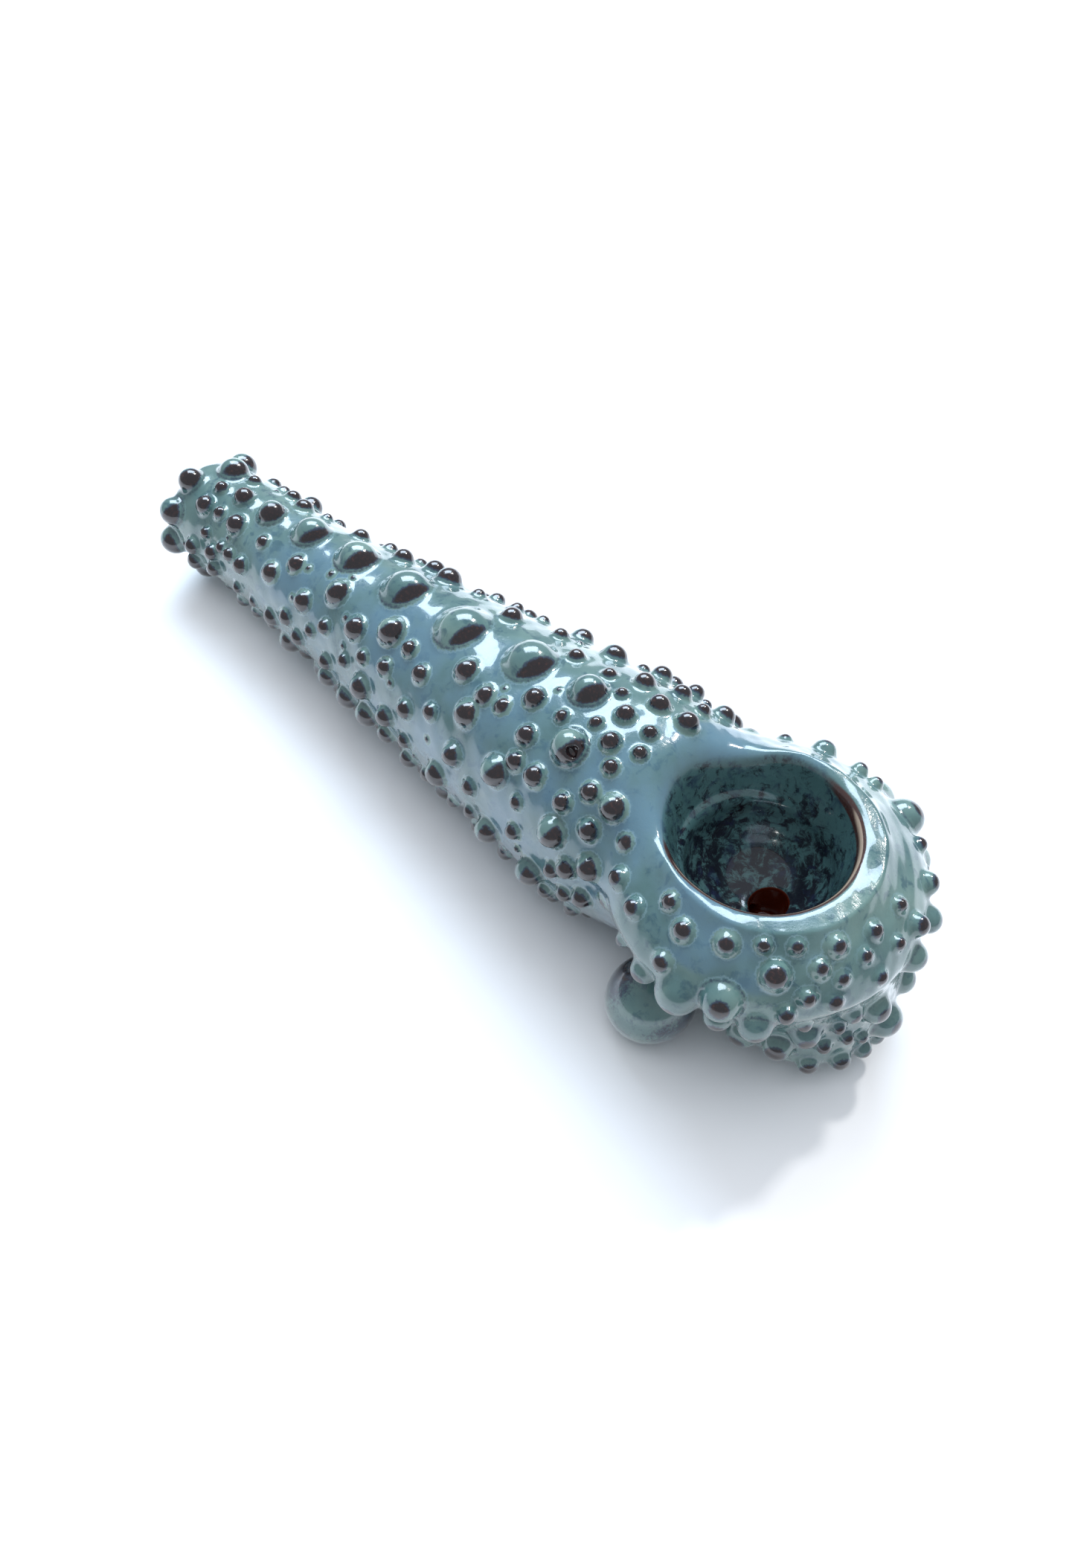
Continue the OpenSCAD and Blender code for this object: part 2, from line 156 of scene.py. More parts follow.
class Lathe:
    """The field of a turned solid: distance to its outline, tabled by radius and height."""

    GRAIN = 0.25
    MARGIN = 9.0

    def __init__(self, outline):
        self.outline = softened(outline)
        loop = np.vstack([self.outline, self.outline[::-1] * [-1, 1]])
        self.low = self.outline[:, 1].min() - self.MARGIN
        high = self.outline[:, 1].max() + self.MARGIN
        radii = np.arange(0, self.outline[:, 0].max() + self.MARGIN, self.GRAIN)
        heights = np.arange(self.low, high, self.GRAIN)
        r, h = np.meshgrid(radii, heights, indexing="ij")
        nearest = np.full(r.shape, 1e9)
        inside = np.zeros(r.shape, bool)
        for (ar, ah), (br, bh) in zip(loop, np.roll(loop, -1, 0)):
            er, eh = br - ar, bh - ah
            length2 = er * er + eh * eh
            if length2 < 1e-12:
                continue
            t = np.clip(((r - ar) * er + (h - ah) * eh) / length2, 0, 1)
            nearest = np.minimum(nearest, np.hypot(r - ar - t * er, h - ah - t * eh))
            if eh != 0:
                inside ^= ((ah > h) != (bh > h)) & (r < er * (h - ah) / eh + ar)
        self.table = np.where(inside, -nearest, nearest).astype(np.float32)

    def __call__(self, radius, height):
        n, m = self.table.shape
        u = np.clip(radius / self.GRAIN, 0, n - 1.001)
        v = np.clip((height - self.low) / self.GRAIN, 0, m - 1.001)
        i, j = u.astype(np.int32), v.astype(np.int32)
        u, v = u - i, v - j
        t = self.table
        return (t[i, j] * (1 - u) + t[i + 1, j] * u) * (1 - v) + (
            t[i, j + 1] * (1 - u) + t[i + 1, j + 1] * u
        ) * v

    def radius(self, height):
        """The outline's radius at a height."""
        return np.interp(height, self.outline[:, 1], self.outline[:, 0])


def join(a, b, k):
    """Two fields as one, with a fillet of about k where they meet."""
    h = np.maximum(k - np.abs(a - b), 0) / k
    return np.minimum(a, b) - h * h * k * 0.25


def cut(a, b, k):
    """Field a without b, with its edge rounded by about k."""
    return -join(-a, b, k)


def smooth(x, low, high):
    t = np.clip((x - low) / (high - low), 0, 1)
    return t * t * (3 - 2 * t)


crown, chin, stem = Lathe(CROWN), Lathe(CHIN), Lathe(STEM)
cavity, soft_lip = Lathe(CAVITY), Lathe(SOFT_LIP)
TILT = math.atan((SHOULDER_H - MOUTH_H) / STEM_LEN)


def along_stem(x, y, z):
    """Radius from the stem's middle line, and station along it."""
    across, up = x - BOWL_X, z - SHOULDER_H
    station = across * math.cos(TILT) + up * math.sin(TILT)
    rise = up * math.cos(TILT) - across * math.sin(TILT)
    return np.hypot(y, rise), station


def wobble(x, y, z):
    """Slow unevenness of clay shaped by hand."""
    return (
        np.sin(0.23 * x + 0.9) * np.sin(0.31 * y + 0.4) * np.sin(0.27 * z + 1.1) * 0.22
        + np.sin(0.61 * x + 0.3 * z) * np.sin(0.57 * y - 0.4 * x + 2) * 0.07
        + np.sin(1.7 * x + 0.9 * y) * np.sin(1.9 * z - 1.3 * y) * 0.03
    )


def head_field(x, y, z):
    a = crown(np.hypot(x - HEAD_X, y), z)
    b = chin(np.hypot(x - CHIN_X, y), z)
    return join(a, b, 3.0)


def stem_field(x, y, z):
    return stem(*along_stem(x, y, z))


def cavity_field(x, y, z):
    a = cavity(np.hypot(x - CAVITY_X, y), z)
    b = soft_lip(np.hypot(x - LIP_X, y), z)
    return join(a, b, 2.0)


def hole_field(x, y, z):
    """Draft hole and airway."""
    draft = np.maximum(
        np.hypot(x - DRAFT_X, y - DRAFT_Y) - DRAFT_R,
        np.abs(z - AIRWAY_H - 3) - 3.6,
    )
    airway = np.maximum(np.hypot(y, z - AIRWAY_H) - AIRWAY_R, x - DRAFT_X - DRAFT_R)
    return np.minimum(draft, airway)


def hollowed(field, x, y, z):
    """A field with the bowl, draft hole and airway cut out. The lip is softest on the stem side."""
    roundness = 1.1 + 2.6 * smooth(LIP_X - x + 0 * y, 0, CAVITY_R)
    field = cut(field, cavity_field(x, y, z), roundness)
    return cut(field, hole_field(x, y, z), 0.45)


# --- Beads, read from the frame ---


def islands(edges, count):
    """A label for each point, the same all over a connected piece."""
    label = np.arange(count)
    while True:
        low = np.minimum(label[edges[:, 0]], label[edges[:, 1]])
        fresh = label.copy()
        np.minimum.at(fresh, edges[:, 0], low)
        np.minimum.at(fresh, edges[:, 1], low)
        fresh = fresh[fresh]
        if (fresh == label).all():
            return label
        label = fresh


def solids_of(obj):
    """The points of each separate solid in a CAD node, in millimetres."""
    mesh = obj.data
    points = np.zeros(len(mesh.vertices) * 3)
    mesh.vertices.foreach_get("co", points)
    points = points.reshape(-1, 3) / MM
    edges = np.zeros(len(mesh.edges) * 2, int)
    mesh.edges.foreach_get("vertices", edges)
    spots, which = np.unique(np.round(points, 2), axis=0, return_inverse=True)
    which = which.reshape(-1)
    label = islands(which[edges.reshape(-1, 2)], len(spots))
    solids = [spots[label == key] for key in np.unique(label)]
    return [s for s in solids if len(s) > 20]


def sphere_through(points):
    """Middle and radius of the sphere that fits points best."""
    a = np.hstack([2 * points, np.ones((len(points), 1))])
    b = (points**2).sum(1)
    found = np.linalg.lstsq(a, b, rcond=None)[0]
    middle = found[:3]
    return middle, math.sqrt(max(found[3] + middle @ middle, 0))


def outward(point):
    """Direction straight off the clay at a point."""
    reach = 0.4
    steps = np.eye(3) * reach
    ahead = clay_field(*(point[:, None] + steps))
    behind = clay_field(*(point[:, None] - steps))
    direction = ahead - behind
    return direction / np.linalg.norm(direction)


def clay_field(x, y, z):
    """The bare clay body, with no feet, beads or holes."""
    return join(head_field(x, y, z), stem_field(x, y, z), 3.0)


def ball_of(points, facing=None):
    """The bead that a solid's cap belongs to: middle, radius and facing."""
    facing = outward(points.mean(0)) if facing is None else facing
    along = points @ facing
    across = points - np.outer(along, facing)
    width = np.linalg.norm(across - across.mean(0), axis=1).max()
    cap = points[along > along.max() - 0.42 * width]
    middle, radius = sphere_through(cap)
    return middle, radius, facing


class Bead:
    def __init__(self, node, middle, radius, facing, rng):
        self.node = node
        self.middle = middle
        self.radius = radius
        self.facing = facing
        self.luck = rng.random()
        # A rolled bead is never quite round
        uneven = rng.normal(0, 0.022, (3, 3))
        self.shape = np.eye(3) + (uneven + uneven.T) / 2
        self.fillet = 0.55 + 0.16 * radius

    def field(self, x, y, z):
        p = [x - self.middle[0], y - self.middle[1], z - self.middle[2]]
        q = [sum(self.shape[i][j] * p[j] for j in range(3)) for i in range(3)]
        return np.sqrt(q[0] ** 2 + q[1] ** 2 + q[2] ** 2) - self.radius


SEED = 11
FOOT_FILLET = 1.6
rng = np.random.default_rng(SEED)
# Which way each foot faces: out to its side, and down
FEET = {"near_foot": np.array([0.0, -0.8, -0.6]), "far_foot": np.array([0.0, 0.8, -0.6])}
beads = []
for name in sorted(NODES):
    if name in ("bowl", "stem"):
        continue
    for points in solids_of(NODES[name]):
        middle, radius, facing = ball_of(points, FEET.get(name))
        beads.append(Bead(name, middle, radius, facing, rng))
for foot in (b for b in beads if b.node in FEET):
    foot.fillet = FOOT_FILLET


PINHEAD_TRIES = 150
PINHEAD_GAP = 0.35


def pinheads(tries):
    """Tiny bumps on the stem and the head, kept where they are clear of the beads."""
    found = []
    middles = np.array([b.middle for b in beads])
    radii = np.array([b.radius for b in beads])
    for _ in range(tries):
        turn = rng.uniform(0, 2 * math.pi)
        r = rng.uniform(0.28, 0.5)
        if rng.random() < 0.8:
            station = rng.uniform(-STEM_LEN + 4, -BELLY_R - 4)
            out = stem.radius(station)
            rise = SHOULDER_H + math.tan(TILT) * station
            p = [BOWL_X + station, out * math.sin(turn), rise + out * math.cos(turn)]
        else:
            height = rng.uniform(6, RIM_H * 0.8)
            out = crown.radius(height)
            p = [HEAD_X + out * math.cos(turn), out * math.sin(turn), height]
        p = np.array(p)
        clear = np.linalg.norm(middles - p, axis=1) - radii
        if clear.min() > r + PINHEAD_GAP and abs(clay_field(*p[:, None])[0]) < 0.3:
            bead = Bead("", p + outward(p) * 0.1 * r, r, outward(p), rng)
            bead.fillet = 0.3
            found.append(bead)
    return found


tiny = pinheads(PINHEAD_TRIES)
crater = next(b for b in beads if b.node == "cratered_bead")
PIT_R = 0.85
CRATER_PIT = crater.middle + crater.radius * np.array([0.62, -0.5, 0.62])


# --- The skin ---


def grid_axes():
    low = np.array(cad_box[0]) / MM - 1.5
    high = np.array(cad_box[1]) / MM + 1.5
    return [np.arange(low[i], high[i], STEP) for i in range(3)]


def skin_field(axes):
    """The field of the whole glazed pipe on the grid."""
    xs, ys, zs = axes
    field = np.empty((len(xs), len(ys), len(zs)), np.float32)
    y, z = np.meshgrid(ys, zs, indexing="ij")
    for i, x in enumerate(xs):
        value = clay_field(x, y, z)
        field[i] = value + wobble(x, y, z)
    for bead in beads + tiny:
        reach = bead.radius * 1.1 + 2 * bead.fillet + 0.3
        part = tuple(
            slice(*np.searchsorted(axis, [m - reach, m + reach]))
            for axis, m in zip(axes, bead.middle)
        )
        x, y, z = np.meshgrid(*[axis[p] for axis, p in zip(axes, part)], indexing="ij")
        field[part] = join(field[part], bead.field(x, y, z), bead.fillet)
    y, z = np.meshgrid(ys, zs, indexing="ij")
    for i, x in enumerate(xs):
        value = hollowed(field[i], x, y, z)
        pit = np.sqrt(
            (x - CRATER_PIT[0]) ** 2 + (y - CRATER_PIT[1]) ** 2 + (z - CRATER_PIT[2]) ** 2
        )
        ragged = 0.2 * np.sin(4 * y) * np.sin(5 * z + 3 * x)
        value = cut(value, pit - PIT_R + ragged, 0.25)
        # Feet and the lowest bead are wiped flat where they meet the table
        field[i] = np.maximum(value, 0.02 - z)
    return field


def crossing_cells(field):
    """Which cells of the grid the surface runs through."""
    inside = field < 0
    nx, ny, nz = (n - 1 for n in field.shape)
    total = np.zeros((nx, ny, nz), np.uint8)
    for i in (0, 1):
        for j in (0, 1):
            for k in (0, 1):
                total += inside[i : nx + i, j : ny + j, k : nz + k]
    return (total > 0) & (total < 8)


def surface_of(field, axes):
    """Points and four-sided faces of the surface where the field is zero."""
    active = crossing_cells(field)
    cells = np.argwhere(active)
    number = np.full(active.shape, -1, np.int32)
    number[active] = np.arange(len(cells))
    total, hits = np.zeros((len(cells), 3)), np.zeros(len(cells))
    corner = [np.array([i, j, k]) for i in (0, 1) for j in (0, 1) for k in (0, 1)]
    for a in corner:
        for axis in range(3):
            if a[axis]:
                continue
            b = a.copy()
            b[axis] = 1
            da = field[tuple((cells + a).T)].astype(float)
            db = field[tuple((cells + b).T)].astype(float)
            crossed = (da < 0) != (db < 0)
            t = da[crossed] / (da[crossed] - db[crossed])
            total[crossed] += a + t[:, None] * (b - a)
            hits[crossed] += 1
    low = np.array([axis[0] for axis in axes])
    points = low + (cells + total / hits[:, None]) * STEP
    faces = []
    for axis in range(3):
        p, q = (axis + 1) % 3, (axis + 2) % 3
        here, there = [slice(1, -1)] * 3, [slice(1, -1)] * 3
        here[axis], there[axis] = slice(0, -1), slice(1, None)
        a, b = field[tuple(here)] < 0, field[tuple(there)] < 0
        for mask, order in ((a & ~b, 1), (~a & b, -1)):
            at = np.argwhere(mask)
            at[:, p] += 1
            at[:, q] += 1
            ring = []
            for dp, dq in ((-1, -1), (0, -1), (0, 0), (-1, 0))[::order]:
                cell = at.copy()
                cell[:, p] += dp
                cell[:, q] += dq
                ring.append(number[tuple(cell.T)])
            faces.append(np.stack(ring, 1))
    return points, np.vstack(faces)


def sample(field, axes, points):
    """The field between the grid's points."""
    low = np.array([axis[0] for axis in axes])
    place = (points - low) / STEP
    base = np.clip(place.astype(int), 0, np.array(field.shape) - 2)
    share = place - base
    value = np.zeros(len(points))
    for i in (0, 1):
        for j in (0, 1):
            for k in (0, 1):
                offset = np.array([i, j, k])
                weight = np.prod(np.where(offset, share, 1 - share), 1)
                value += weight * field[tuple((base + offset).T)]
    return value


def gradient(field, axes, points):
    result = np.zeros((len(points), 3))
    for axis in range(3):
        step = np.zeros(3)
        step[axis] = STEP * 0.8
        result[:, axis] = sample(field, axes, points + step) - sample(field, axes, points - step)
    return result / (1.6 * STEP)


axes = grid_axes()
field = skin_field(axes)
points, faces = surface_of(field, axes)
for _ in range(2):
    slope = gradient(field, axes, points)
    size2 = np.maximum((slope**2).sum(1), 0.2)
    points -= slope * (sample(field, axes, points) / size2)[:, None]
normals = gradient(field, axes, points)
normals /= np.maximum(np.linalg.norm(normals, axis=1), 1e-6)[:, None]
points[:, 2] = np.maximum(points[:, 2], 0.0)
del field


# --- What the glaze does at each point ---


# How far from a bead its glaze takes notice of it
REACH = 2.5


class Glaze:
    """Measures at each point of the skin that the material reads."""

    def __init__(self, points):
        x, y, z = points.T
        count = len(points)
        self.clay = clay_field(x, y, z)
        self.nearest = np.full(count, 1e9)
        self.owner = np.full(count, -1)
        self.dark = np.full(count, -1.2)
        self.size = np.zeros(count)
        for i, bead in enumerate(beads + tiny):
            near = np.nonzero(np.abs(x - bead.middle[0]) < bead.radius + REACH)[0]
            offset = points[near] - bead.middle
            far = np.linalg.norm(offset, axis=1)
            away = far - bead.radius
            closer = (away < self.nearest[near]) & (away < REACH)
            mine = near[closer]
            self.nearest[mine] = away[closer]
            self.owner[mine] = i
            self.size[mine] = bead.radius
            direction = offset[closer] / np.maximum(far[closer], 1e-6)[:, None]
            self.dark[mine] = break_of(bead, direction) - 2.5 * np.maximum(away[closer], 0)
        # 0 on a bead, and less by the distance to it on the clay round it
        self.rise = -np.clip(self.nearest, 0, REACH)
        # Painted shade: a thin dark line in the crease along the foot of each large bead
        self.crease_shade = np.exp(-(((self.clay - 0.22) / 0.16) ** 2))
        self.crease_shade *= (self.nearest < 0.3) * smooth(self.size, 1.5, 2.2)
        # Painted reflection: the blue a window would leave in the glaze, on the near side of the stem
        # and on the collar, weaker past the nose
        near_side = smooth(-y, -9, 1) * (0.3 + 0.7 * smooth(x, -60, -34))
        collar = smooth(z, RIM_H - 8, RIM_H - 4) * smooth(np.hypot(x - HEAD_X, y), 19.5, 17)
        past_nose = smooth(x - HEAD_X + 0.5 * y, 2, 16)
        near_stem = near_side * (1 - smooth(x, HEAD_X - 12, HEAD_X))
        self.painted_reflection = np.maximum(near_stem, collar) * (1 - 0.7 * past_nose)
        # How deep in the bowl, for painted shade there
        self.deep = smooth(RIM_H - z, 2, CAVITY_DEPTH)
        self.inner = smooth(-cavity_field(x, y, z), -0.55, -0.05) * (z > FLOOR_H - 1.5)
        self.hole = smooth(-hole_field(x, y, z), -0.3, -0.02)
        edge = np.exp(-((cavity_field(x, y, z) - 0.12) / 0.3) ** 2)
        turn = np.arctan2(y, x - CAVITY_X)
        # The nose and near side of the rim's edge: a thin brown edge where the glaze broke, with a
        # painted highlight along its middle
        bare = smooth(np.cos(turn + 0.5), -0.75, 0.2)
        self.rim = edge * bare * smooth(z, RIM_H - 1.8, RIM_H - 0.9)


def break_of(bead, direction):
    """How far a bead has gone dark, in millimetres: more than 0 is dark. Mostly the glaze broken thin;
    the side of the crescent on the stem's large beads is painted shade.
    """
    r = bead.radius
    up = direction @ bead.facing
    if bead.node == "":
        return (up - 0.3) * r
    if bead.node in FEET:
        # The feet are faintly mottled, most on the side towards the head
        return np.full(len(up), 0.08) - 0.35 * up
    if bead.node.startswith(("crown", "chin")) or bead.node.endswith("lobes"):
        # On the head the glaze ran thin only on the tops
        top = bead.facing + np.array([0.1, 0.1 - 0.3 * bead.luck, 0.25 * bead.luck])
        top /= np.linalg.norm(top)
        spot = np.interp(r, [0.8, 1.3, 2.0, 2.7], [0.95, 0.8, 0.6, 0.42]) + 0.25 * (bead.luck - 0.5)
        return (spot - np.linalg.norm(direction - top, axis=1)) * r
    # On the stem the glaze broke thin to a dark cap or, on a large bead, a crescent; the crescent's
    # place on the side towards the nose and the near side is painted shade
    painted_shade_side = np.array([0.93, -0.34, -0.1])
    painted_shade_side -= bead.facing * (painted_shade_side @ bead.facing)
    painted_shade_side /= np.linalg.norm(painted_shade_side)
    start = np.interp(r, [0.9, 1.3, 1.9, 2.4, 3.8], [-0.75, -0.5, -0.05, 0.38, 0.52])
    start += 0.3 * (bead.luck - 0.5) * (r < 2.2)
    low = np.interp(r, [1.0, 1.6, 2.6, 3.8], [0.26, 0.2, 0.22, 0.4])
    return np.minimum(direction @ painted_shade_side - start, up - low) * r


glaze = Glaze(points)


# --- Pieces ---


def owners():
    """For each point, the number of the CAD node that its piece stands for."""
    names = sorted(NODES)
    number = {name: i for i, name in enumerate(names)}
    x, y, z = points.T
    on_stem = stem_field(x, y, z) + 0.4 < head_field(x, y, z)
    on_stem &= (glaze.inner < 0.05) & (x < HEAD_X - 4)
    result = np.where(on_stem, number["stem"], number["bowl"])
    bead_node = np.array([number.get(b.node, -1) for b in beads + tiny] + [-1])
    node = bead_node[glaze.owner]
    foot = np.isin(node, [number[n] for n in FEET])
    on_bead = (node >= 0) & (glaze.nearest < np.where(foot, 0.25, 0.12)) & (glaze.clay > -0.15)
    on_bead &= (glaze.hole < 0.05) & (glaze.inner < 0.05)
    return names, np.where(on_bead, node, result)


MEASURES = ("dark", "rise", "crease_shade", "painted_reflection", "deep", "inner", "hole", "rim")


def piece_from(name, chosen):
    """A mesh of the chosen faces, with the whole skin's own normals and measures."""
    used, index = np.unique(faces[chosen], return_inverse=True)
    mesh = bpy.data.meshes.new(name)
    quads = index.reshape(-1, 4)
    mesh.vertices.add(len(used))
    mesh.vertices.foreach_set("co", (points[used] * MM).astype(np.float32).ravel())
    mesh.loops.add(quads.size)
    mesh.loops.foreach_set("vertex_index", quads.astype(np.int32).ravel())
    mesh.polygons.add(len(quads))
    mesh.polygons.foreach_set("loop_start", np.arange(0, quads.size, 4, dtype=np.int32))
    mesh.polygons.foreach_set("use_smooth", np.ones(len(quads), bool))
    mesh.update(calc_edges=True)
    for key in MEASURES:
        layer = mesh.attributes.new(key, "FLOAT", "POINT")
        layer.data.foreach_set("value", getattr(glaze, key)[used].astype(np.float32))
    mesh.normals_split_custom_set_from_vertices(normals[used])
    obj = bpy.data.objects.new(name, mesh)
    bpy.context.scene.collection.objects.link(obj)
    return obj


# --- Glaze material ---


class Nodes:
    """Short calls for building a material's nodes."""

    def __init__(self, tree):
        self.tree = tree

    def add(self, kind, **inputs):
        node = self.tree.nodes.new(kind)
        for key, value in inputs.items():
            self.put(node.inputs[key.replace("_", " ")], value)
        return node

    def put(self, socket, value):
        if isinstance(value, bpy.types.NodeSocket):
            self.tree.links.new(value, socket)
        else:
            socket.default_value = value

    def measure(self, name):
        node = self.tree.nodes.new("ShaderNodeAttribute")
        node.attribute_name = name
        return node.outputs["Fac"]

    def math(self, operation, a, b=0.0, c=0.0):
        node = self.tree.nodes.new("ShaderNodeMath")
        node.operation = operation
        for socket, value in zip(node.inputs, (a, b, c)):
            self.put(socket, value)
        return node.outputs[0]

    def ramp(self, value, low, high, out_low=0.0, out_high=1.0):
        node = self.tree.nodes.new("ShaderNodeMapRange")
        node.interpolation_type = "SMOOTHSTEP"
        for socket, v in zip(node.inputs, (value, low, high, out_low, out_high)):
            self.put(socket, v)
        return node.outputs[0]

    def mix(self, share, a, b):
        node = self.tree.nodes.new("ShaderNodeMix")
        node.data_type = "RGBA"
        self.put(node.inputs[0], share)
        self.put(node.inputs[6], a)
        self.put(node.inputs[7], b)
        return node.outputs[2]

    def noise(self, place, scale, detail=4.0, rough=0.55, warp=0.0):
        node = self.add("ShaderNodeTexNoise", Vector=place, Scale=scale, Detail=detail)
        node.inputs["Roughness"].default_value = rough
        node.inputs["Distortion"].default_value = warp
        return node.outputs["Fac"]


def colour(red, green, blue):
    """A colour given as it looks on a screen, from 0 to 255."""
    shares = [c / 255 for c in (red, green, blue)]
    linear = [((c + 0.055) / 1.055) ** 2.4 if c > 0.0405 else c / 12.92 for c in shares]
    return (*linear, 1.0)


TEAL = colour(74, 106, 106)
TEAL_PALE = colour(104, 132, 126)
TEAL_DEEP = colour(38, 76, 88)
# Blue of pooled glaze, also used for a painted window reflection
POOL_AND_REFLECTION_BLUE = colour(82, 116, 136)
NAVY = colour(22, 30, 62)
BREAK = colour(24, 14, 18)
BREAK_WARM = colour(62, 34, 30)
FOAM = colour(128, 158, 168)
# Painted highlight on the rim
RIM_HIGHLIGHT_CREAM = colour(190, 170, 150)
INNER = colour(66, 98, 100)
INNER_DARK = colour(12, 16, 28)
DRAFT_RED = colour(80, 26, 10)


def glaze_material(name, shift):
    """Glossy glaze: teal over the clay, bluer where it pools and where a window's reflection is
    painted, and dark where it broke over beads; painted shade in bead creases, on one side of the
    stem's large beads and deep in the bowl, and a painted highlight on the rim.
    """
    material = bpy.data.materials.new(name)
    material.use_nodes = True
    tree = material.node_tree
    tree.nodes.clear()
    n = Nodes(tree)
    coordinates = n.add("ShaderNodeTexCoord")
    scaled = n.add("ShaderNodeVectorMath", Vector=coordinates.outputs["Object"])
    scaled.operation = "MULTIPLY"
    scaled.inputs[1].default_value = (1000, 1000, 1000)
    place = scaled.outputs[0]
    slow = n.noise(place, 0.12 + shift, 3)
    patchy = n.noise(place, 0.55, 4, 0.6, 0.4)
    fine = n.noise(place, 2.6, 4, 0.65)
    speck = n.noise(place, 7.0, 2, 0.5)
    dark, rise = n.measure("dark"), n.measure("rise")
    inner, hole, rim = n.measure("inner"), n.measure("hole"), n.measure("rim")
    crease_shade, painted_reflection, deep = n.measure("crease_shade"), n.measure("painted_reflection"), n.measure("deep")

    # Base: teal that wanders between deep and pale, with bluer pools away from the beads, joined on the
    # near stem and the collar by a painted blue window reflection, and a pale line along the shore of
    # each pool
    base = n.mix(n.ramp(slow, 0.35, 0.68), TEAL, TEAL_PALE)
    base = n.mix(n.ramp(patchy, 0.52, 0.68, 0, 0.7), base, TEAL_DEEP)
    shore = n.math("ADD", rise, n.math("MULTIPLY", n.math("SUBTRACT", fine, 0.5), 0.9))
    wet_and_reflection = n.math("ADD", n.math("MULTIPLY", painted_reflection, 0.5), slow)
    pool_and_reflection = n.math("MULTIPLY", n.ramp(shore, -0.35, -0.5), n.ramp(wet_and_reflection, 0.84, 1.14, 0.03, 0.8))
    base = n.mix(pool_and_reflection, base, POOL_AND_REFLECTION_BLUE)
    # The pale line is stronger where the painted reflection is
    shoreline = n.math("MULTIPLY", n.ramp(shore, -0.34, -0.44), n.ramp(shore, -0.66, -0.5))
    base = n.mix(n.math("MULTIPLY", shoreline, n.ramp(wet_and_reflection, 0.55, 0.9, 0.05, 0.4)), base, FOAM)
    dots = n.math("MULTIPLY", n.ramp(speck, 0.72, 0.77), n.ramp(patchy, 0.5, 0.6))
    base = n.mix(n.math("MULTIPLY", dots, 0.8), base, NAVY)
    # Painted shade: navy in the crease at the foot of each large bead
    base = n.mix(n.math("MULTIPLY", crease_shade, n.ramp(fine, 0.35, 0.6, 0.25, 0.8)), base, NAVY)

    # Breaks over the beads: a navy margin round dark brown; on the stem's large beads the crescent's
    # side is painted shade
    ragged = n.math("ADD", dark, n.math("MULTIPLY", n.math("SUBTRACT", fine, 0.5), 0.7))
    ragged = n.math("ADD", ragged, n.math("MULTIPLY", n.math("SUBTRACT", patchy, 0.5), 0.4))
    base = n.mix(n.ramp(ragged, -0.22, 0.06, 0, 0.85), base, NAVY)
    warm = n.mix(n.ramp(fine, 0.5, 0.72), BREAK, BREAK_WARM)
    base = n.mix(n.ramp(ragged, 0.04, 0.24), base, warm)

    # Bowl: darker glaze with brushed, mottled patches, and painted shade that darkens it deeper down
    streak = n.noise(place, 0.6, 5, 0.72, 0.5)
    streaks_and_depth_shade = n.math("ADD", streak, n.math("MULTIPLY", deep, 0.14))
    inside = n.mix(n.ramp(streaks_and_depth_shade, 0.5, 0.66), INNER, INNER_DARK)
    inside = n.mix(n.ramp(patchy, 0.52, 0.7, 0, 0.6), inside, NAVY)
    base = n.mix(inner, base, inside)
    edge = n.math("MULTIPLY", n.ramp(rim, 0.1, 0.4), n.ramp(fine, 0.2, 0.5, 0.6, 1.0))
    base = n.mix(edge, base, BREAK_WARM)
    # Painted highlight: cream along the middle of the rim's edge on the nose and near side
    base = n.mix(n.ramp(rim, 0.8, 0.98, 0, 0.75), base, RIM_HIGHLIGHT_CREAM)
    base = n.mix(n.ramp(hole, 0.4, 0.9), base, DRAFT_RED)

    ripple = n.math("ADD", n.math("MULTIPLY", patchy, 0.6), n.math("MULTIPLY", fine, 0.16))
    bump = n.add("ShaderNodeBump", Height=ripple, Strength=0.5, Distance=0.00016)
    shader = n.add("ShaderNodeBsdfPrincipled", Base_Color=base, Normal=bump.outputs[0])
    shader.inputs["Roughness"].default_value = 0.22
    n.put(shader.inputs["Roughness"], n.ramp(fine, 0.3, 0.8, 0.14, 0.26))
    shader.inputs["IOR"].default_value = 1.52
    shader.inputs["Coat Weight"].default_value = 1.0
    shader.inputs["Coat Roughness"].default_value = 0.035
    shader.inputs["Coat IOR"].default_value = 1.55
    output = n.add("ShaderNodeOutputMaterial", Surface=shader.outputs[0])
    output.is_active_output = True
    return material


SLOTS = {s["node"]: s["material_slot"] for s in frame["record"]["subparts"]}
materials = {
    slot: glaze_material(slot, 0.004 * i) for i, slot in enumerate(sorted(set(SLOTS.values())))
}
names, owner = owners()
face_owner = np.sort(owner[faces], axis=1)[:, 1]
for number, name in enumerate(names):
    chosen = face_owner == number
    if not chosen.any():
        raise RuntimeError(f"no skin was found for {name}")
    piece = piece_from(name + "_glaze", chosen)
    piece.data.materials.append(materials[SLOTS[name]])
    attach(piece, "root")
    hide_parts(name)


# --- Floor, light and camera ---


FLOOR_SIZE = 3.2
FLOOR_SHADE = (0.93, 0.935, 0.96, 1)


def plain_material(name, shade, roughness):
    material = bpy.data.materials.new(name)
    material.use_nodes = True
    n = Nodes(material.node_tree)
    shader = material.node_tree.nodes["Principled BSDF"]
    grain = n.noise(n.add("ShaderNodeTexCoord").outputs["Object"], 60, 3)
    darker = tuple(0.985 * c for c in shade)
    n.put(shader.inputs["Base Color"], n.mix(n.ramp(grain, 0.3, 0.7), shade, darker))
    shader.inputs["Roughness"].default_value = roughness
    return material


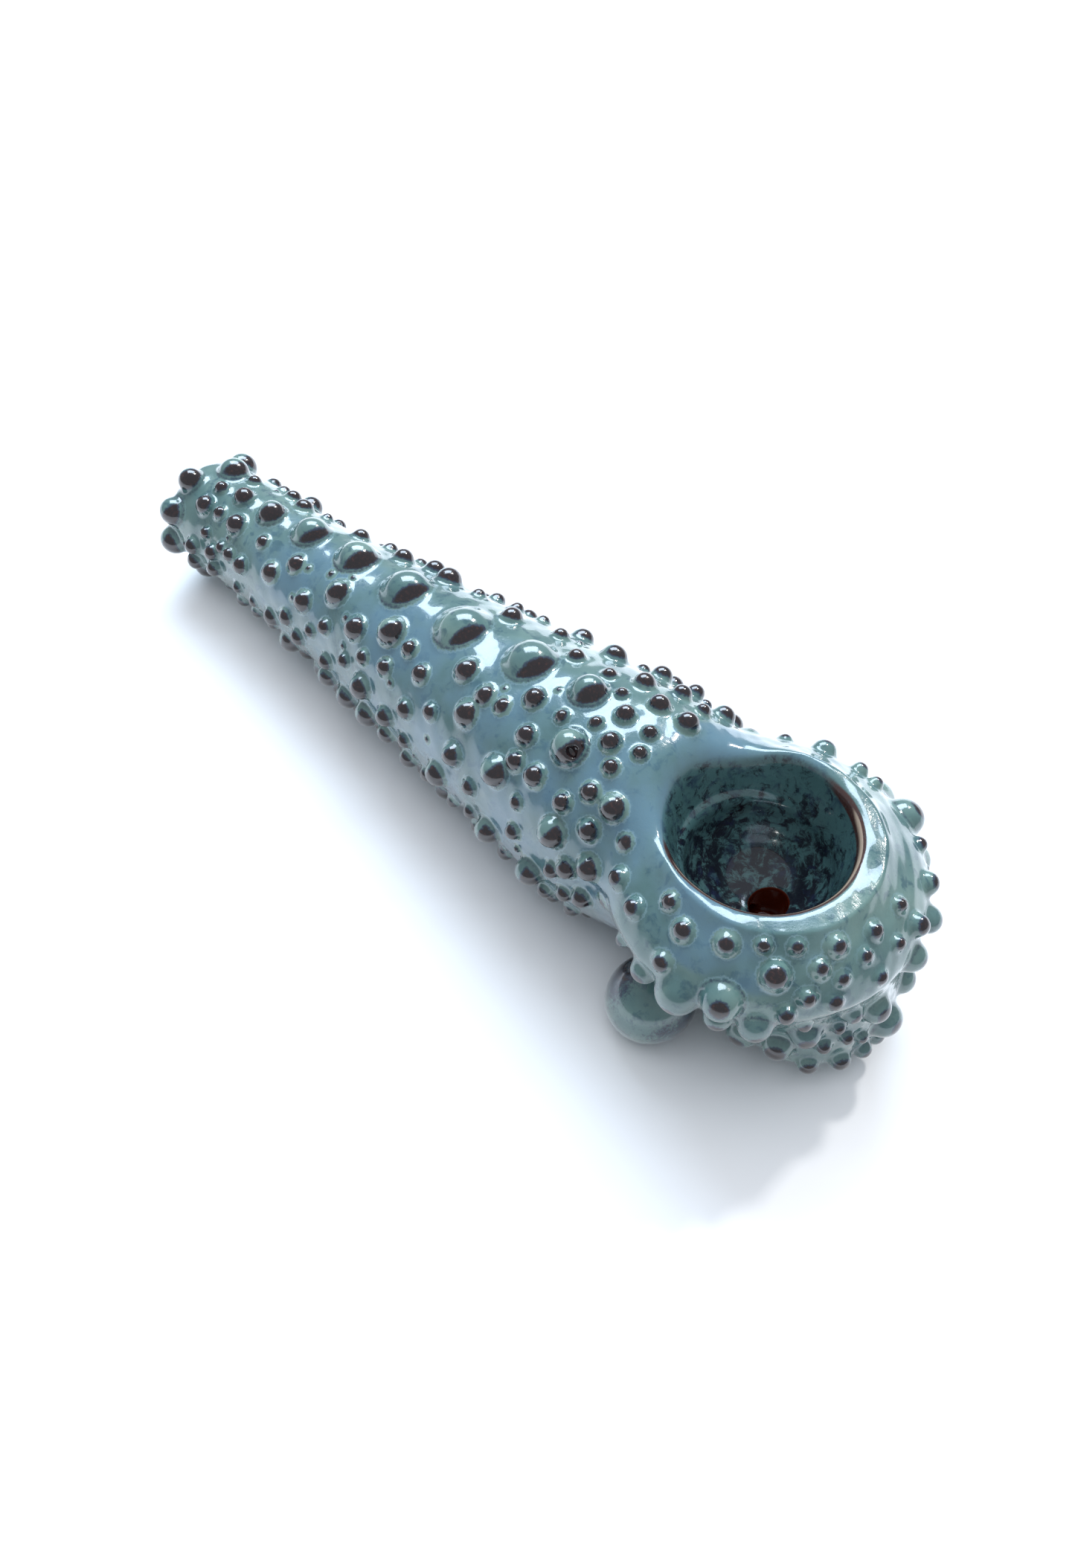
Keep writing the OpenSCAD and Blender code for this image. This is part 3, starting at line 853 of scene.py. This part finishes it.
def floor():
    mesh = bpy.data.meshes.new("floor")
    half = FLOOR_SIZE / 2
    corner = [(-half, -half, 0), (half, -half, 0), (half, half, 0), (-half, half, 0)]
    mesh.from_pydata(corner, [], [(0, 1, 2, 3)])
    obj = bpy.data.objects.new("floor", mesh)
    bpy.context.scene.collection.objects.link(obj)
    mesh.materials.append(plain_material("floor", FLOOR_SHADE, 0.7))


# The camera stands on the near side, past the nose, and looks down at the pipe
CAMERA_TURN = math.radians(42.5)
CAMERA_DOWN = math.radians(54.0)
CAMERA_ROLL = math.radians(1.4)
CAMERA_REACH = 172.8
LENS = 35.3
# The line of sight passes the middle of the rim by this much, to the left and above
PASS_LEFT = 25.5
PASS_ABOVE = 5.1

right = Vector((math.cos(CAMERA_TURN), math.sin(CAMERA_TURN), 0))
away = Vector((-math.sin(CAMERA_TURN), math.cos(CAMERA_TURN), 0))
up = Vector((0, 0, 1))


def camera():
    forward = away * math.cos(CAMERA_DOWN) - up * math.sin(CAMERA_DOWN)
    level_up = away * math.sin(CAMERA_DOWN) + up * math.cos(CAMERA_DOWN)
    side = right * math.cos(CAMERA_ROLL) + level_up * math.sin(CAMERA_ROLL)
    top = level_up * math.cos(CAMERA_ROLL) - right * math.sin(CAMERA_ROLL)
    rim = Vector((BOWL_X, 0, RIM_H))
    place = rim - side * PASS_LEFT + top * PASS_ABOVE - forward * CAMERA_REACH
    data = bpy.data.cameras.new("camera")
    data.lens = LENS
    data.sensor_width = 36
    data.clip_start = 0.01
    data.clip_end = 20
    obj = bpy.data.objects.new("camera", data)
    bpy.context.scene.collection.objects.link(obj)
    turn = Matrix((side, top, -forward)).transposed().to_4x4()
    obj.matrix_world = Matrix.Translation(place * MM) @ turn
    bpy.context.scene.camera = obj


def lamp(name, place, width, height, watts, tint):
    """A soft lamp that points at the pipe. Its place is (right, away, up) of the camera, in metres."""
    data = bpy.data.lights.new(name, "AREA")
    data.shape = "RECTANGLE"
    data.size = width
    data.size_y = height
    data.energy = watts
    data.color = tint
    obj = bpy.data.objects.new(name, data)
    bpy.context.scene.collection.objects.link(obj)
    start = right * place[0] + away * place[1] + up * place[2]
    obj.location = start
    obj.rotation_euler = (-start).to_track_quat("-Z", "Y").to_euler()
    return obj


def lights():
    lamp("window", (-0.05, 0.55, 0.62), 0.6, 0.4, 7.0, (0.7, 0.85, 1.0))
    lamp("key", (0.5, 0.6, 0.9), 0.09, 0.09, 5.0, (1.0, 0.98, 0.95))
    overhead = lamp("overhead", (0, 0, 1.1), 1.2, 1.2, 8.5, (0.94, 0.97, 1.0))
    # It would show in the glaze as a grey square
    overhead.visible_glossy = False
    world = bpy.data.worlds.new("world")
    world.use_nodes = True
    background = world.node_tree.nodes["Background"]
    background.inputs["Color"].default_value = (0.86, 0.92, 1.0, 1)
    background.inputs["Strength"].default_value = 0.42
    bpy.context.scene.world = world


floor()
lights()
camera()
bpy.context.scene.view_settings.view_transform = "Standard"
